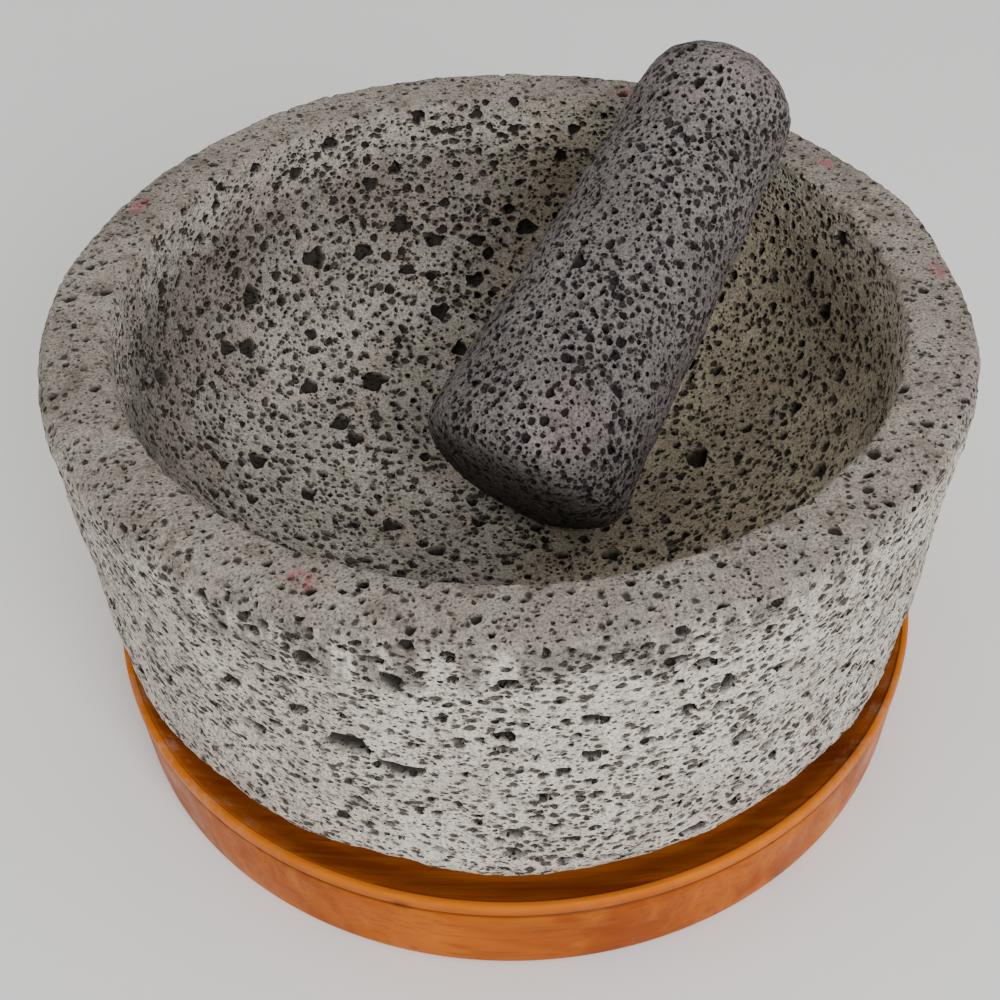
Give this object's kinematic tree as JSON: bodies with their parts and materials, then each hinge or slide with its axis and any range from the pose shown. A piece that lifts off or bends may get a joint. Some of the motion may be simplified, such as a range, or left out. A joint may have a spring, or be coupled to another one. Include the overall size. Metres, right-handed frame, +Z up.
{
  "type": "molcajete",
  "caption": "Legless basalt mortar with thick rough walls on a turned, lipped wooden base, its tapered basalt pestle leaning in the bowl.",
  "frame": {"origin": "centre of the wooden base's flat underside", "axes": "+Z up; the front faces -Y; the pestle's grip end leans towards +X and +Y"},
  "size_m": [0.222, 0.222, 0.1528],
  "materials": {
    "stained_wood": "orange-brown stain under thin varnish",
    "basalt": "dressed vesicular basalt, matt and full of pores",
    "dark_basalt": "dark vesicular basalt, matt, worn at the grinding end"
  },
  "bodies": {
    "base": {"wooden_base": "stained_wood"},
    "bowl": {"mortar_bowl": "basalt"},
    "grinder": {"pestle": "dark_basalt"}
  },
  "joints": [
    {"name": "bowl_lift", "type": "slide", "parent": "base", "child": "bowl", "axis": [0, 0, 1], "range_m": [0, 0.05]},
    {"name": "pestle_lift", "type": "slide", "parent": "bowl", "child": "grinder", "axis": [0, 0, 1], "range_m": [0, 0.1]}
  ]
}
